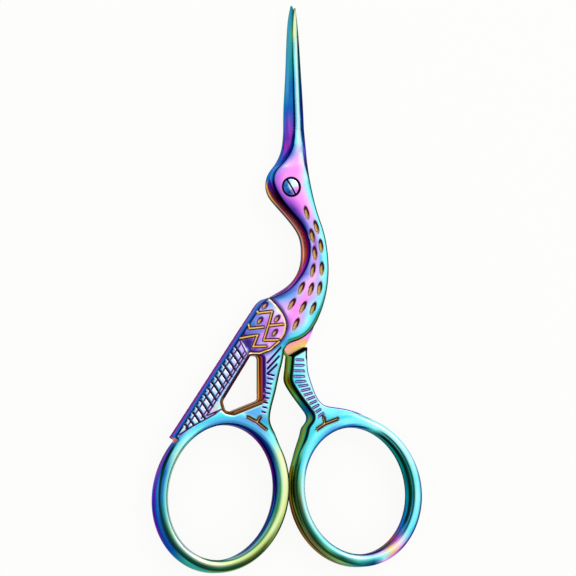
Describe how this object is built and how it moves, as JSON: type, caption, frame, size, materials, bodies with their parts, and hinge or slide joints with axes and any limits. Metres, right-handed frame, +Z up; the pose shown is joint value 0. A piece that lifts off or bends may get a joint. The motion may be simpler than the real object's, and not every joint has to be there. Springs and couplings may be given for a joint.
{
  "type": "stork embroidery scissors",
  "caption": "Small embroidery scissors shaped like a stork: the beak is the pair of blades, the neck and body carry the pivot, and tail and legs end in oval finger rings.",
  "frame": {"origin": "on the surface the scissors lie on, at the axis of the pivot screw", "axes": "+Y towards the blade tips, +X towards the stork's back and the right finger ring, +Z up, out of the screw's slotted head"},
  "size_m": [0.0576, 0.1157, 0.005],
  "materials": {
    "front_half": "polished steel with an iridescent rainbow coating, violet to cyan",
    "back_half": "polished steel with an iridescent rainbow coating, blue to cyan",
    "pivot_screw": "polished steel with an iridescent rainbow coating"
  },
  "bodies": {
    "back": {"back_half": "back_half", "pivot_screw": "pivot_screw"},
    "front": {"front_half": "front_half"}
  },
  "joints": [
    {"name": "pivot", "type": "hinge", "parent": "back", "child": "front", "pos_m": [0, 0, 0], "axis": [0, 0, -1], "range_deg": [0, 60]}
  ]
}
